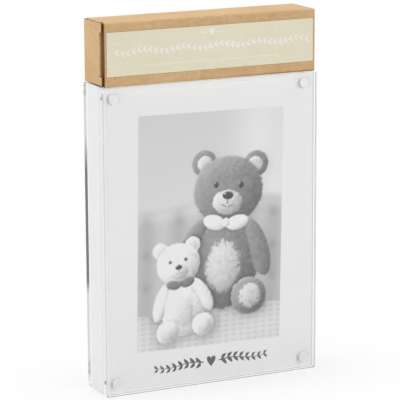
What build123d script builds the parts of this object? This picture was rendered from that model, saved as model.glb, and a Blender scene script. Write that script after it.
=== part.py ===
# Double-sided handprint frame with its kit carton lying on top.
# Millimetres. +X is right, +Y is to the rear, +Z is up, and the origin is the middle of the base.
import os
from math import acos, asin, cos, degrees, sin

from build123d import *

os.makedirs("parts", exist_ok=True)

# Frame: a white core block between two clear panes
frame_width = 150.0
frame_height = 198.0
core_thickness = 19.0
core_corner = 1.5
core_edge_bevel = 0.6
pane_thickness = 5.0
pane_corner = 1.5
pane_bevel = 0.6
pane_top_relief = 0.2

# Sheets held between the panes and the core
card_thickness = 0.4
print_thickness = 0.25
sheet_gap = 0.1
card_side_inset = 3.0
card_end_inset = 2.0
photo_card_shift = 1.0
photo_card_drop = 1.0
print_width = 101.6
print_height = 152.4
print_base_share = 0.54
print_tilt = 1.0

# Disc magnets, in pairs that pull through the sheets
magnet_radius = 3.2
magnet_thickness = 2.5
magnet_bevel = 0.25
magnet_glue_gap = 0.05
magnet_side_inset = 8.2
magnet_end_inset = 7.6

# Kit carton of single-wall corrugated board
carton_end_inset = 1.0
carton_face_inset = 0.25
carton_height = 40.0
board = 1.6
liner = 0.35
flute_pitch = 2.8
flute_sheet = 0.2
flute_gap = 0.03
crease_radius = 1.4
fold_gap = 0.3
front_wall_setback = 1.0
label_thickness = 0.12
label_end_inset = 2.3
label_top_inset = 5.9
label_base_inset = 6.6
label_corner = 0.3

# Tuck flaps and dust flaps
flap_edge_gap = 0.5
shoulder_height = 6.5
shoulder_gap = 1.2
tongue_gap = 4.4
tongue_length = 14.0
tongue_corner = 5.0
tongue_slit = 0.4
tuck_fold_radius = 1.0
dust_share = 0.41
dust_slant = 1.5
dust_clearance = 0.4
dust_corner = 2.0

# Ink pad
ink_end_room = 19.0
ink_side_gap = 1.4
ink_wall = 1.6
ink_corner = 3.0
ink_base_height = 6.0
ink_rim_height = 4.0
ink_lid_height = 9.0
ink_lid_gap = 0.2
ink_lid_bevel = 0.8
felt_gap = 0.3
felt_height = 10.4
felt_round = 1.0

# Layers from the middle of the core outwards, the same to the front and to the rear
core_face = core_thickness / 2
card_face = core_face + card_thickness
print_face = card_face + print_thickness
pane_inner_face = print_face + sheet_gap
pane_outer_face = pane_inner_face + pane_thickness
pane_height = frame_height - pane_top_relief

# Magnet centres as seen from the front, across and up
magnet_x = frame_width / 2 - magnet_side_inset
magnet_spots = {
    "top_left": (-magnet_x, frame_height - magnet_end_inset),
    "top_right": (magnet_x, frame_height - magnet_end_inset),
    "base_left": (-magnet_x, magnet_end_inset),
    "base_right": (magnet_x, magnet_end_inset),
}

# Carton walls
carton_end = frame_width / 2 - carton_end_inset
carton_face = pane_outer_face - carton_face_inset
carton_floor = frame_height
carton_roof = carton_floor + carton_height
carton_middle = (carton_floor + carton_roof) / 2
wall_inside = carton_face - board
floor_inside = carton_floor + board

# Fold lines at the left end: the tuck flap turns on the rear fold, the dust flaps on the roof and floor folds
tuck_fold_x = -carton_end + board / 2
tuck_fold_y = carton_face - board / 2
front_wall_end = carton_end - front_wall_setback
rear_wall_end = carton_end - board - fold_gap
dust_outer_x = -carton_end + board + fold_gap
dust_fold_x = dust_outer_x + board / 2
dust_fold_z = carton_roof - board / 2
roof_end = -(dust_outer_x + board + fold_gap)

# The tongue is curled about the rear fold, so it slips out past the front wall
tongue_outer = tuck_fold_y + wall_inside - tongue_gap
tongue_inner = tongue_outer - board
tongue_turn = degrees(tongue_length / tongue_outer)
tuck_front_y = tuck_fold_y - tongue_outer
shoulder_front_y = -wall_inside + shoulder_gap

# The dust flaps lie between the tongue and the rear wall
dust_front = tuck_fold_y - tongue_inner + dust_clearance
dust_rear = wall_inside - dust_clearance


def front_plane(depth):
    """Upright plane a given depth in front of the middle, across and up as seen from the front."""
    return Plane.XZ.offset(depth)


def save(solid, name):
    solid.label = name
    export_step(solid, f"parts/{name}.step")


def core_block():
    with BuildPart() as core:
        with BuildSketch(front_plane(core_face)):
            with Locations((0, frame_height / 2)):
                RectangleRounded(frame_width, frame_height, core_corner)
        extrude(amount=-core_thickness)
        broad_faces = core.faces().filter_by(Axis.Y)
        chamfer(broad_faces.edges(), core_edge_bevel)
        for depth, inward in ((core_face, -1), (-core_face, 1)):
            with BuildSketch(front_plane(depth)):
                with Locations(*magnet_spots.values()):
                    Circle(magnet_radius + magnet_glue_gap)
            extrude(amount=inward * (magnet_thickness + magnet_glue_gap), mode=Mode.SUBTRACT)
    return core.part


def pane(side):
    """Clear pane, in front of the core for side 1 and behind it for side -1."""
    with BuildPart() as sheet:
        with BuildSketch(front_plane(side * pane_inner_face)):
            with Locations((0, pane_height / 2)):
                RectangleRounded(frame_width, pane_height, pane_corner)
        extrude(amount=side * pane_thickness)
        outer_face = sheet.faces().sort_by(Axis.Y)[0 if side > 0 else -1]
        chamfer(outer_face.edges(), pane_bevel)
        with BuildSketch(front_plane(side * pane_inner_face)):
            with Locations(*magnet_spots.values()):
                Circle(magnet_radius + magnet_glue_gap)
        extrude(amount=side * (magnet_thickness + magnet_glue_gap), mode=Mode.SUBTRACT)
    return sheet.part


def magnet(depth, away, spot):
    """Disc whose open face is flush at a depth and whose bevelled seat lies away from it."""
    with BuildPart() as disc:
        with BuildSketch(front_plane(depth)):
            with Locations(spot):
                Circle(magnet_radius)
        extrude(amount=away * magnet_thickness)
        seat = disc.faces().sort_by(Axis.Y)[0 if away > 0 else -1]
        chamfer(seat.edges(), magnet_bevel)
    return disc.part


def card(depth, thickness, shift, drop):
    """Loose sheet in the card's outline, from a depth forwards, settled a little off the middle."""
    with BuildPart() as sheet:
        with BuildSketch(front_plane(depth)):
            with Locations((shift, frame_height / 2 - drop)):
                Rectangle(frame_width - 2 * card_side_inset, frame_height - 2 * card_end_inset)
        extrude(amount=thickness)
    return sheet.part


def photo_print():
    base = (frame_height - print_height) * print_base_share
    with BuildPart() as sheet:
        with BuildSketch(front_plane(card_face)):
            with Locations((0, base + print_height / 2)):
                Rectangle(print_width, print_height, rotation=-print_tilt)
        extrude(amount=print_thickness)
    return sheet.part


def carton_sleeve():
    with BuildPart() as sleeve:
        with BuildSketch(Plane.YZ):
            with Locations((0, carton_middle)):
                RectangleRounded(2 * carton_face, carton_height, crease_radius)
                Rectangle(2 * wall_inside, carton_height - 2 * board, mode=Mode.SUBTRACT)
        extrude(amount=front_wall_end, both=True)
        # Room for the fluting between the front wall's liners, open at both raw ends
        with BuildSketch(Plane.YZ):
            with Locations((-carton_face + board / 2, carton_middle)):
                Rectangle(board - 2 * liner, carton_height - 2 * board)
        extrude(amount=front_wall_end, both=True, mode=Mode.SUBTRACT)
        # The front wall runs nearly to the ends; the other walls stop inside the end panels
        for end in (-1, 1):
            with BuildSketch(Plane.YZ.offset(end * rear_wall_end)):
                with Locations((board, carton_middle)):
                    Rectangle(2 * carton_face, carton_height)
            extrude(amount=end * 2 * board, mode=Mode.SUBTRACT)
        # The roof and floor give way to the dust folds
        for end in (-1, 1):
            with BuildSketch(Plane.YZ.offset(end * roof_end)):
                with Locations(((dust_front + dust_rear) / 2, carton_middle)):
                    Rectangle(dust_rear - dust_front + 2 * fold_gap, carton_height)
            extrude(amount=end * 4 * board, mode=Mode.SUBTRACT)
    return sleeve.part


def front_fluting():
    """Wavy sheet between the front wall's two liners, alternate arcs that meet where they straighten."""
    height = carton_height - 2 * board
    half_pitch = flute_pitch / 2
    count = int(height / half_pitch)
    rise = (board - 2 * liner - flute_sheet) / 2 - flute_gap
    radius = half_pitch**2 / (8 * rise) + rise / 2
    lean = asin(half_pitch / 2 / radius)
    middle_y = -carton_face + board / 2
    start_z = carton_middle - count * half_pitch / 2

    def side(edge):
        # One face of the sheet: half its thickness to the front (-1) or to the rear (1) of the wave
        ends = []
        crests = []
        for i in range(count + 1):
            turn = -lean if i % 2 else lean
            reach = edge * flute_sheet / 2
            ends.append((middle_y + reach * cos(turn), start_z + i * half_pitch + reach * sin(turn)))
        for i in range(count):
            bulge = rise if i % 2 else -rise
            crests.append((middle_y + bulge + edge * flute_sheet / 2, start_z + (i + 0.5) * half_pitch))
        return ends, crests

    with BuildPart() as sheet:
        with BuildSketch(Plane.YZ.offset(-front_wall_end)):
            with BuildLine():
                front_ends, front_crests = side(-1)
                rear_ends, rear_crests = side(1)
                for ends, crests in ((front_ends, front_crests), (rear_ends, rear_crests)):
                    for i in range(count):
                        ThreePointArc(ends[i], crests[i], ends[i + 1])
                Line(front_ends[0], rear_ends[0])
                Line(front_ends[-1], rear_ends[-1])
            make_face()
        extrude(amount=2 * front_wall_end)
    return sheet.part


def carton_label():
    label_height = carton_height - label_top_inset - label_base_inset
    with BuildPart() as label:
        with BuildSketch(front_plane(carton_face)):
            with Locations((0, carton_floor + label_base_inset + label_height / 2)):
                RectangleRounded(2 * (carton_end - label_end_inset), label_height, label_corner)
        extrude(amount=label_thickness)
    return label.part


def left_tuck_flap():
    panel_base = carton_floor + flap_edge_gap
    panel_height = carton_height - 2 * flap_edge_gap
    tongue_base = carton_floor + shoulder_height
    tongue_height = carton_height - 2 * shoulder_height
    fold = (tuck_fold_x, tuck_fold_y)
    first_turn = -degrees(acos(-board / 2 / tongue_outer))
    with BuildPart() as flap:
        with BuildSketch(Plane.XY.offset(panel_base)):
            with Locations((tuck_fold_x, (tuck_fold_y + tuck_front_y) / 2)):
                Rectangle(board, tuck_fold_y - tuck_front_y)
            with Locations(fold):
                Circle(board / 2)
        extrude(amount=panel_height)
        # Shoulders above and below the tongue reach on to the front wall
        with BuildSketch(Plane.YZ.offset(-carton_end)):
            with Locations(((shoulder_front_y + tuck_front_y) / 2, carton_middle)):
                Rectangle(tuck_front_y - shoulder_front_y, panel_height)
                Rectangle(tuck_front_y - shoulder_front_y, tongue_height + 2 * tongue_slit, mode=Mode.SUBTRACT)
        extrude(amount=board)
        # Tongue: a ring sector about the fold, from the panel's outer face inwards
        with BuildSketch(Plane.XY.offset(tongue_base)):
            with BuildLine():
                outer = CenterArc(fold, tongue_outer, first_turn, tongue_turn)
                inner = CenterArc(fold, tongue_inner, first_turn, tongue_turn)
                Line(outer @ 0, inner @ 0)
                Line(outer @ 1, inner @ 1)
            make_face()
        extrude(amount=tongue_height)
        # The board rolls over at the fold between the panel and the tongue
        roll = tuck_fold_radius
        with BuildSketch(Plane.XY.offset(tongue_base)):
            with Locations((-carton_end, tuck_front_y)):
                Rectangle(roll, roll, align=(Align.MIN, Align.MIN))
            with Locations((-carton_end + roll, tuck_front_y + roll)):
                Circle(roll, mode=Mode.SUBTRACT)
        extrude(amount=tongue_height, mode=Mode.SUBTRACT)
        tip = (outer @ 1 + inner @ 1) / 2
        for height in (tongue_base, tongue_base + tongue_height):
            tip_corner = flap.edges().sort_by_distance((tip.X, tip.Y, height))[0]
            fillet(tip_corner, tongue_corner)
    return flap.part


def left_roof_dust_flap():
    length = dust_share * (carton_height - 2 * board)
    heel = dust_slant * (tuck_fold_y - dust_rear)
    slant_end = tuck_fold_y - length / dust_slant
    with BuildPart() as flap:
        with BuildSketch(Plane.YZ.offset(dust_outer_x)) as outline:
            with BuildLine():
                Polyline(
                    (dust_front, dust_fold_z),
                    (dust_rear, dust_fold_z),
                    (dust_rear, dust_fold_z - heel),
                    (slant_end, dust_fold_z - length),
                    (dust_front, dust_fold_z - length),
                    close=True,
                )
            make_face()
            fillet(outline.vertices().group_by(Axis.Y)[0], dust_corner)
        extrude(amount=board)
        with BuildSketch(front_plane(-dust_front)):
            with Locations((dust_fold_x, dust_fold_z)):
                Circle(board / 2)
        extrude(amount=dust_front - dust_rear)
    return flap.part


def mirrored(solid, plane):
    with BuildPart() as copy:
        mirror(solid, about=plane)
    return copy.part


# Ink pad outlines: the base flange, the rim inside the lid and the felt's well
ink_length = 2 * (carton_end - ink_end_room)
ink_depth = 2 * (wall_inside - ink_side_gap)
rim_length = ink_length - 2 * (ink_wall + ink_lid_gap)
rim_depth = ink_depth - 2 * (ink_wall + ink_lid_gap)
well_length = rim_length - 2 * ink_wall
well_depth = rim_depth - 2 * ink_wall
rim_corner = ink_corner - ink_wall - ink_lid_gap
ledge = floor_inside + ink_base_height


def ink_tray():
    with BuildPart() as tray:
        with BuildSketch(Plane.XY.offset(floor_inside)):
            RectangleRounded(ink_length, ink_depth, ink_corner)
        extrude(amount=ink_base_height)
        with BuildSketch(Plane.XY.offset(ledge)):
            RectangleRounded(rim_length, rim_depth, rim_corner)
        extrude(amount=ink_rim_height)
        with BuildSketch(Plane.XY.offset(floor_inside + ink_wall)):
            Rectangle(well_length, well_depth)
        extrude(amount=ink_base_height + ink_rim_height, mode=Mode.SUBTRACT)
    return tray.part


def ink_felt():
    with BuildPart() as felt:
        with BuildSketch(Plane.XY.offset(floor_inside + ink_wall)):
            Rectangle(well_length - 2 * felt_gap, well_depth - 2 * felt_gap)
        extrude(amount=felt_height)
        fillet(felt.faces().sort_by(Axis.Z)[-1].edges(), felt_round)
    return felt.part


def ink_lid():
    with BuildPart() as lid:
        with BuildSketch(Plane.XY.offset(ledge)):
            RectangleRounded(ink_length, ink_depth, ink_corner)
        extrude(amount=ink_lid_height)
        chamfer(lid.faces().sort_by(Axis.Z)[-1].edges(), ink_lid_bevel)
        with BuildSketch(Plane.XY.offset(ledge)):
            RectangleRounded(rim_length + 2 * ink_lid_gap, rim_depth + 2 * ink_lid_gap, rim_corner + ink_lid_gap)
        extrude(amount=ink_lid_height - ink_wall, mode=Mode.SUBTRACT)
    return lid.part


save(core_block(), "core_block")
save(pane(1), "front_pane")
save(pane(-1), "rear_pane")
for corner, spot in magnet_spots.items():
    save(magnet(pane_inner_face, 1, spot), f"front_pane_magnet_{corner}")
    save(magnet(core_face, -1, spot), f"core_front_magnet_{corner}")
    save(magnet(-core_face, 1, spot), f"core_rear_magnet_{corner}")
    save(magnet(-pane_inner_face, -1, spot), f"rear_pane_magnet_{corner}")

save(card(core_face, card_thickness, photo_card_shift, photo_card_drop), "photo_card")
save(photo_print(), "photo_print")
save(card(-print_face, card_thickness + print_thickness, 0, 0), "handprint_card")

save(carton_sleeve(), "carton_sleeve")
save(front_fluting(), "front_fluting")
save(carton_label(), "carton_label")

tuck_flap = left_tuck_flap()
save(tuck_flap, "left_tuck_flap")
save(mirrored(tuck_flap, Plane.YZ), "right_tuck_flap")

roof_flap = left_roof_dust_flap()
floor_flap = mirrored(roof_flap, Plane.XY.offset(carton_middle))
save(roof_flap, "left_roof_dust_flap")
save(floor_flap, "left_floor_dust_flap")
save(mirrored(roof_flap, Plane.YZ), "right_roof_dust_flap")
save(mirrored(floor_flap, Plane.YZ), "right_floor_dust_flap")

save(ink_tray(), "ink_tray")
save(ink_felt(), "ink_felt")
save(ink_lid(), "ink_lid")
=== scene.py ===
import math

import bmesh
import bpy
import numpy as np
from mathutils import Matrix, Vector


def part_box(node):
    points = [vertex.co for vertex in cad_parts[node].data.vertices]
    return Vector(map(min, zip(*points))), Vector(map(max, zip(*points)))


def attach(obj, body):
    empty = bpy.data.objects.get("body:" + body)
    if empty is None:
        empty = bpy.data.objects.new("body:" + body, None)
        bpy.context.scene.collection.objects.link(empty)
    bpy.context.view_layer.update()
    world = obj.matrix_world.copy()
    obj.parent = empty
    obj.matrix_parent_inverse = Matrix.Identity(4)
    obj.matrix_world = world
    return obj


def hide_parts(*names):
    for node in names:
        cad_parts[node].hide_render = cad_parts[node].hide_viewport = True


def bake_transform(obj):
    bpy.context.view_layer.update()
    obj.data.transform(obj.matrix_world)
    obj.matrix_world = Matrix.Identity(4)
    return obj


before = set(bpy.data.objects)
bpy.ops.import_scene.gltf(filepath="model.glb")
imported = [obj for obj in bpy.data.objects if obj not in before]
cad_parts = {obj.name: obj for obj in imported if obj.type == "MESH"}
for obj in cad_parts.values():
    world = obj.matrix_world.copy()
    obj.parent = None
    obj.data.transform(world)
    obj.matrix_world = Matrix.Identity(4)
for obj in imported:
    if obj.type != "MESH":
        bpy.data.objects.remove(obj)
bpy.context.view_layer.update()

mm = 0.001  # lengths are written in millimetres, and Blender works in metres
weldGap = 1e-8  # points nearer than this are one point
white = (1.0, 1.0, 1.0, 1.0)


# colours and shader nodes
def linearLight(share):  # brightness on screen, 0 to 1, made linear by the standard screen curve
    return np.where(share <= 0.04045, share / 12.92, ((share + 0.055) / 1.055) ** 2.4)


def tone(red, green, blue):  # a colour as it reads on screen, 0 to 255
    return (*linearLight(np.array((red, green, blue)) / 255).tolist(), 1.0)


def setSocket(tree, socket, value):  # links another socket to this one, or sets a plain value
    if isinstance(value, bpy.types.NodeSocket):
        tree.links.new(value, socket)
    else:
        socket.default_value = value


def addNode(tree, kind, inputs=None, **settings):  # one shader node, its sockets set or linked
    made = tree.nodes.new("ShaderNode" + kind)
    for key, value in settings.items():
        setattr(made, key, value)
    for key, value in (inputs or {}).items():
        setSocket(tree, made.inputs[key], value)
    return made


def calc(tree, operation, *values):
    return addNode(tree, "Math", dict(enumerate(values)), operation=operation).outputs[0]


def times(tree, first, *others):  # all the values multiplied
    for other in others:
        first = calc(tree, "MULTIPLY", first, other)
    return first


def above(tree, value, limit):  # 1 where the value is over the limit, else 0
    return calc(tree, "GREATER_THAN", value, limit)


def below(tree, value, limit):
    return calc(tree, "LESS_THAN", value, limit)


def apart(tree, value, middle):  # how far a value is from a middle, either way
    return calc(tree, "ABSOLUTE", calc(tree, "SUBTRACT", value, middle))


def weigh(tree, share, first, second):  # that share of the first value and the rest of the second
    rest = calc(tree, "SUBTRACT", 1.0, share) if isinstance(share, bpy.types.NodeSocket) else 1 - share
    return calc(tree, "ADD", times(tree, first, share), times(tree, second, rest))


def spread(tree, value, low, high, toLow=0.0, toHigh=1.0):  # remaps a value and holds it at the ends
    return addNode(tree, "MapRange", {0: value, 1: low, 2: high, 3: toLow, 4: toHigh}).outputs[0]


def mixColours(tree, share, first, second):  # 0, 6 and 7 are the Mix node's sockets for colours
    return addNode(tree, "Mix", {0: share, 6: first, 7: second}, data_type="RGBA").outputs[2]


def mixShaders(tree, share, first, second):
    return addNode(tree, "MixShader", {0: share, 1: first, 2: second}).outputs[0]


def coords(tree, kind):  # the piece's own "Object" or "Normal" coordinates
    return addNode(tree, "TexCoord").outputs[kind]


def axes(tree, kind):  # the same, split into X, Y and Z
    return addNode(tree, "SeparateXYZ", {0: coords(tree, kind)}).outputs


def looking(tree, axis):  # how squarely a face looks along an axis, either way
    return calc(tree, "ABSOLUTE", axes(tree, "Normal")[axis])


def noise(tree, scale, place=None, detail=2.0, warp=0.0):
    place = coords(tree, "Object") if place is None else place
    inputs = {"Vector": place, "Scale": scale, "Detail": detail, "Distortion": warp}
    return addNode(tree, "TexNoise", inputs).outputs[0]


def clouded(tree, kind):  # two colours in soft clouds
    cloud = noise(tree, kind["cloud"], detail=kind.get("detail", 2.0))
    return mixColours(tree, cloud, kind["colour"], kind["shade"])


def bumpFrom(tree, height, depth, strength):
    return addNode(tree, "Bump", {"Height": height, "Distance": depth, "Strength": strength}).outputs[0]


def newGroup(name, inputs, outputs):
    group = bpy.data.node_groups.new(name, "ShaderNodeTree")
    for label, start in inputs.items():
        socket = group.interface.new_socket(label, in_out="INPUT", socket_type="NodeSocketFloat")
        socket.default_value = start
    for label in outputs:
        group.interface.new_socket(label, in_out="OUTPUT", socket_type="NodeSocketFloat")
    return group, group.nodes.new("NodeGroupInput").outputs, group.nodes.new("NodeGroupOutput").inputs


def useGroup(tree, group, **values):  # places a shader group and sets its inputs
    return addNode(tree, "Group", values, node_tree=group).outputs


def newMaterial(name):
    made = bpy.data.materials.new(name)
    made.use_nodes = True
    tree = made.node_tree
    tree.nodes.clear()
    addNode(tree, "OutputMaterial")
    body = addNode(tree, "BsdfPrincipled")
    showShader(tree, body.outputs[0])
    return made, tree, body


def showShader(tree, shader):  # the shader that the material ends in
    tree.links.new(shader, tree.get_output_node("ALL").inputs[0])


def plug(tree, body, **values):  # sets or links sockets of the shader, with _ for a space
    for key, value in values.items():
        setSocket(tree, body.inputs[key.replace("_", " ")], value)


def paint(nodes, material):
    for name in nodes:
        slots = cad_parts[name].data.materials
        slots.clear()
        slots.append(material)


# meshes
def gridQuads(rows, cols, start=0, flip=False):  # corner numbers of every cell of a rows by cols grid
    corner = start + (np.arange(rows - 1)[:, None] * cols + np.arange(cols - 1)[None, :])
    quads = np.stack((corner, corner + 1, corner + cols + 1, corner + cols), -1).reshape(-1, 4)
    return quads[:, ::-1] if flip else quads


def rimLoop(rows, cols):  # corner numbers once round the edge of a grid
    top = np.arange(cols)
    right = np.arange(1, rows) * cols + cols - 1
    base = (rows - 1) * cols + np.arange(cols - 2, -1, -1)
    left = np.arange(rows - 2, 0, -1) * cols
    return np.concatenate((top, right, base, left))


def slab(front, rear):
    # two grids of the same size joined round their rims: a closed plate that follows both surfaces
    rows, cols = front.shape[:2]
    count = rows * cols
    loop = rimLoop(rows, cols)
    after = np.roll(loop, -1)
    rim = np.stack((loop, loop + count, after + count, after), -1)
    points = np.concatenate((front.reshape(-1, 3), rear.reshape(-1, 3)))
    return points, [gridQuads(rows, cols), gridQuads(rows, cols, count, True), rim]


def slabs(plates):  # many closed plates as one mesh
    points = []
    faces = []
    start = 0
    for front, rear in plates:
        some, parts = slab(front, rear)
        points.append(some)
        faces += [part + start for part in parts]
        start += len(some)
    return np.concatenate(points), faces


def addObject(name, data):
    made = bpy.data.objects.new(name, data)
    bpy.context.scene.collection.objects.link(made)
    return made


def placePiece(mesh, material, body):
    mesh.materials.append(material)
    piece = addObject(mesh.name, mesh)
    if body:  # a piece that bends over a fold rides on no one body
        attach(piece, body)
    return piece


def addPiece(name, points, faces, material, body, smooth=False):
    # points go in as one array; doubles are merged and the faces turned outwards
    mesh = bpy.data.meshes.new(name)
    mesh.from_pydata(points.tolist(), [], [face for part in faces for face in part.tolist()])
    shell = bmesh.new()
    shell.from_mesh(mesh)
    bmesh.ops.remove_doubles(shell, verts=shell.verts, dist=weldGap)
    bmesh.ops.dissolve_degenerate(shell, edges=shell.edges, dist=weldGap)
    bmesh.ops.recalc_face_normals(shell, faces=shell.faces)
    shell.to_mesh(mesh)
    shell.free()
    mesh.polygons.foreach_set("use_smooth", np.full(len(mesh.polygons), smooth))
    return placePiece(mesh, material, body)


# numbers on a grid
def latticeNoise(x, y, seed):
    # smooth noise: random values on a lattice, blended by a smoothstep between their neighbours
    size = 256
    table = np.random.default_rng(seed).random((size, size))
    left = np.floor(x).astype(int)
    low = np.floor(y).astype(int)
    u = x - left
    v = y - low
    u = u * u * (3 - 2 * u)
    v = v * v * (3 - 2 * v)
    rowA, rowB = low % size, (low + 1) % size
    colA, colB = left % size, (left + 1) % size
    base = table[rowA, colA] * (1 - u) + table[rowA, colB] * u
    top = table[rowB, colA] * (1 - u) + table[rowB, colB] * u
    return base * (1 - v) + top * v


def softened(image, width):
    # gaussian blur through the Fourier transform of the image and its mirror copies
    rows, cols = image.shape
    tiled = np.block([[image, image[:, ::-1]], [image[::-1], image[::-1, ::-1]]])
    up = np.fft.fftfreq(2 * rows)[:, None]
    across = np.fft.rfftfreq(2 * cols)[None, :]
    keep = np.exp(-2 * (np.pi * width) ** 2 * (across**2 + up**2))
    return np.fft.irfft2(np.fft.rfft2(tiled) * keep, s=tiled.shape)[:rows, :cols]


def turned(x, y, angle):  # a place or a direction, turned about the origin
    return x * np.cos(angle) - y * np.sin(angle), x * np.sin(angle) + y * np.cos(angle)


def softStep(distance):  # rises from 0 to 1 about the place where the distance is 0
    return 1 / (1 + np.exp(-distance))


def softHill(distance):  # 1 where the distance is 0, falling to 0 on both sides
    return np.exp(-(distance**2))


print("tools ready")

# shared shader groups
fibreLay = {
    "ways": ({"Scale": (0.32, 1.0, 1.0), "Rotation": (0.3, 0.5, 0.35)},
             {"Scale": (1.0, 0.8, 0.34), "Rotation": (0.4, -0.5, 0.9)}),
    "warp": 0.6, "cloudDetail": 3.0, "fibreShare": 0.65,
}


def makeFibreGrain():
    # fibres lying two ways over a cloudy sheet; Tone and Height are both about 0.5
    group, given, out = newGroup("fibreGrain", {"Scale": 700.0, "Cloud": 60.0}, ("Tone", "Height"))
    place = coords(group, "Object")
    laid = [addNode(group, "Mapping", {"Vector": place, **way}).outputs[0] for way in fibreLay["ways"]]
    one, two = (noise(group, given["Scale"], way, warp=fibreLay["warp"]) for way in laid)
    fibres = weigh(group, 0.5, one, two)
    cloud = noise(group, given["Cloud"], place, fibreLay["cloudDetail"])
    group.links.new(weigh(group, fibreLay["fibreShare"], fibres, cloud), out["Tone"])
    group.links.new(fibres, out["Height"])
    return group


wiped = {"detail": 4.0, "warp": 0.8, "scuffs": 22.0, "smearShare": 0.7, "span": (0.3, 0.7)}


def makeHandlingMarks():
    # smears with fine scuffs among them; Rough runs from Low to High, and Height is the scuffs alone
    start = {"Scale": 30.0, "Low": 0.2, "High": 0.3}
    group, given, out = newGroup("handlingMarks", start, ("Rough", "Height"))
    smears = noise(group, given["Scale"], detail=wiped["detail"], warp=wiped["warp"])
    scuffs = noise(group, times(group, given["Scale"], wiped["scuffs"]))
    both = weigh(group, wiped["smearShare"], smears, scuffs)
    rough = spread(group, both, *wiped["span"], given["Low"], given["High"])
    group.links.new(rough, out["Rough"])
    group.links.new(scuffs, out["Height"])
    return group


fibreGrain = makeFibreGrain()
handlingMarks = makeHandlingMarks()
fleckSpan = (0.35, 0.65)  # the part of the grain's Tone that shows as flecks
napSpan = (0.3, 0.7)  # the part of its Height that shows as roughness


def smoothFinish(name, kind, colour=clouded):  # smears in the gloss, and fine scuffs
    made, tree, body = newMaterial(name)
    marks = useGroup(tree, handlingMarks, **kind["marks"])
    plug(tree, body, Base_Color=colour(tree, kind), Metallic=kind.get("metallic", 0.0),
         Roughness=marks["Rough"], Normal=bumpFrom(tree, marks["Height"], *kind["bump"]))
    return made


def fibreFinish(name, kind):  # flecked fibres, for papers and felt
    made, tree, body = newMaterial(name)
    grain = useGroup(tree, fibreGrain, **kind["grain"])
    flecks = spread(tree, grain["Tone"], *fleckSpan)
    plug(tree, body, Base_Color=mixColours(tree, flecks, kind["colour"], kind["fleck"]),
         Roughness=spread(tree, grain["Height"], *napSpan, *kind["rough"]),
         Normal=bumpFrom(tree, grain["Height"], *kind["bump"]))
    return made


print("shader groups ready")

# white core
lacquer = {
    "colour": tone(238, 238, 238), "shade": tone(234, 234, 235), "cloud": 14.0,
    "covered": tone(248, 248, 248), "coveredFacing": 0.9,  # front and rear faces, behind the panes, a lighter white
    # painted shade: the dark rim colour along the foot and the side edges of the front and rear faces
    "rim": tone(176, 176, 177), "footHeight": 1.2 * mm, "footShadeShare": 0.25,
    "side": (1.6 * mm, 0.6 * mm), "sideShadeShare": 0.8,
    "marks": {"Scale": 38.0, "Low": 0.30, "High": 0.42}, "bump": (0.02 * mm, 0.35),
}


def lacquerColour(tree, kind):  # painted shade where it stands and at the side edges of its covered faces
    low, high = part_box("core_block")
    place = axes(tree, "Object")
    # painted shade along the foot and along the side edges of the front and rear faces
    footShade = spread(tree, place["Z"], low[2], low[2] + kind["footHeight"], kind["footShadeShare"], 0.0)
    side = spread(tree, calc(tree, "ABSOLUTE", place["X"]), *(high[0] - edge for edge in kind["side"]),
                  0.0, kind["sideShadeShare"])
    face = above(tree, looking(tree, "Y"), kind["coveredFacing"])
    coat = mixColours(tree, face, clouded(tree, kind), kind["covered"])
    return mixColours(tree, calc(tree, "MAXIMUM", footShade, times(tree, side, face)), coat, kind["rim"])


paint(["core_block"], smoothFinish("whiteLacquer", lacquer, lacquerColour))

# clear panes
acrylic = {
    "colour": (0.985, 0.988, 0.988, 1.0), "index": 1.49, "marks": {"Scale": 26.0, "Low": 0.0, "High": 0.03},
    "lamplight": (0.98, 0.98, 0.98, 1.0),  # what is left of a lamp's light behind a pane
    "bevelFacing": 0.7, "bevelSwing": 0.2, "bevelRough": 0.18, "footFacing": -0.3,
    # the lower slope's near black is painted shade over the floor
    "bevel": (0.84, 0.845, 0.845, 1.0), "footBevelShade": (0.03, 0.03, 0.031, 1.0),
    # a painted glow for light run along inside a pane, and the dark painted into it
    "piped": (0.79, 0.80, 0.80, 1.0), "pipedDark": (0.07, 0.07, 0.075, 1.0), "pipedAfter": 3.5,
    "darkFrom": (54 * mm, 65 * mm), "darkTo": (138 * mm, 168 * mm),  # heights of the painted dark band, faint to full and back
    # painted shade on the rear pane's glow: a little all over, more where its magnets stand in the way
    "rearShade": 0.206, "blocked": 0.458, "blockedReach": (2.6 * mm, 4.4 * mm),
    # a painted glow on the end faces, for light turned back onto the sheets
    "endFacing": 0.7, "endGlow": 0.75,
}


def paintedPipedGlow(tree):
    # a painted glow for light that has run along inside a pane; on the rear one it is painted dark along the
    # middle of its height, and a little where its magnets stand in the way
    place = axes(tree, "Object")
    band = times(tree, spread(tree, place["Z"], *acrylic["darkFrom"]),
                 spread(tree, place["Z"], *acrylic["darkTo"], 1.0, 0.0))
    base, top = (np.mean(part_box(f"rear_pane_magnet_{end}_left"), axis=0)[2] for end in ("base", "top"))
    reach = apart(tree, apart(tree, place["Z"], (base + top) / 2), (top - base) / 2)
    blocked = spread(tree, reach, *acrylic["blockedReach"], acrylic["blocked"], acrylic["rearShade"])
    dark = times(tree, calc(tree, "MAXIMUM", band, blocked), above(tree, place["Y"], 0.0))
    colour = mixColours(tree, dark, acrylic["piped"], acrylic["pipedDark"])
    return addNode(tree, "Emission", {"Color": colour}).outputs[0]


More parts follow.
